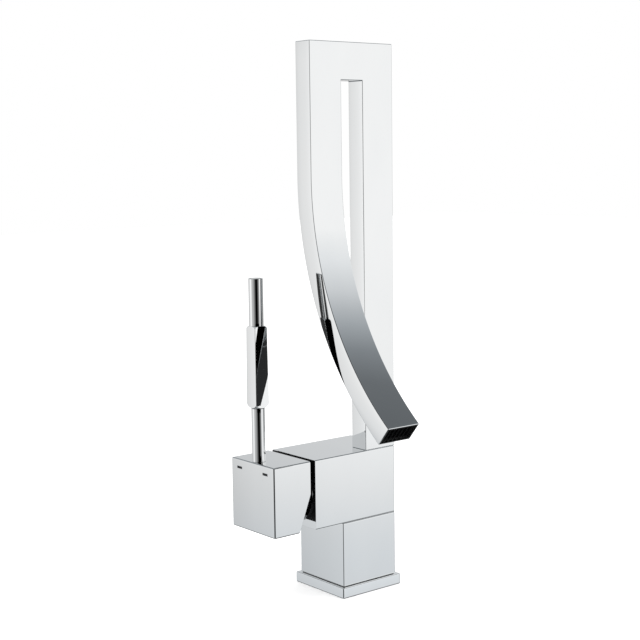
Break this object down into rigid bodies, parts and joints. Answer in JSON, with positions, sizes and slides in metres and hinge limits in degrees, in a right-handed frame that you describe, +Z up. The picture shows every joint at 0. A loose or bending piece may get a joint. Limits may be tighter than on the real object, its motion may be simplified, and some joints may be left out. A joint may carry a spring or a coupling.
{
  "type": "waterfall basin faucet",
  "caption": "Tall square basin mixer with a flat slotted spout whose left leg bends forward as a ribbon, and a side cap with an upright lever on a ceramic disc cartridge.",
  "frame": {"origin": "centre of the flange's underside, on the deck", "axes": "+Z up along the column, -Y towards the user and the basin, -X towards the lever"},
  "size_m": [0.1028, 0.1171, 0.3555],
  "materials": {
    "chrome": "polished chrome plate over brass",
    "brass": "machined brass",
    "steel": "zinc-plated or stainless steel",
    "rubber": "moulded black rubber",
    "ceramic": "lapped alumina ceramic",
    "cartridge_plastic": "moulded grey plastic",
    "stem_plastic": "moulded white plastic",
    "outlet_plastic": "moulded black plastic",
    "index_enamel": "dark enamel in a shallow slot"
  },
  "bodies": {
    "root": {"base_flange": "chrome", "base_gasket": "rubber", "column_shell": "chrome", "column_foot": "brass", "tie_screws": "steel", "hot_pipe": "brass", "cold_pipe": "brass", "pipe_seals": "rubber", "valve_body": "chrome", "spout_riser": "chrome", "spout_crown": "chrome", "spout_ribbon": "chrome", "spout_nipple": "brass", "spout_seal": "rubber", "spout_dowels": "steel", "flow_insert": "outlet_plastic", "cartridge_base": "cartridge_plastic", "base_seals": "rubber", "fixed_disc": "ceramic", "disc_seals": "rubber", "cartridge_housing": "cartridge_plastic", "thrust_washer": "stem_plastic", "cartridge_nut": "brass", "bonnet_ring": "chrome"},
    "turret": {"stem_turret": "stem_plastic", "pivot_pin": "steel"},
    "discs": {"moving_disc": "ceramic", "disc_carrier": "cartridge_plastic"},
    "handle": {"stem": "brass", "handle_cap": "chrome", "grub_screw": "steel", "grub_plug": "chrome", "lever_stud": "steel", "lever_rod_lower": "chrome", "lever_grip": "chrome", "lever_rod_upper": "chrome", "index_hot": "index_enamel", "index_cold": "index_enamel"}
  },
  "joints": [
    {"name": "mix_turn", "type": "hinge", "parent": "root", "child": "turret", "pos_m": [-0.038, 0, 0.072], "axis": [1, 0, 0], "range_deg": [-50, 50]},
    {"name": "lift_tilt", "type": "hinge", "parent": "turret", "child": "handle", "pos_m": [-0.038, 0, 0.072], "axis": [0, -1, 0], "range_deg": [0, 25]},
    {"name": "disc_slide", "type": "slide", "parent": "turret", "child": "discs", "axis": [0, 0, 1], "range_m": [0, 0.00517]}
  ],
  "couplings": [
    {"joint": "disc_slide", "follows": "lift_tilt", "m_per_rad": 0.011623}
  ]
}
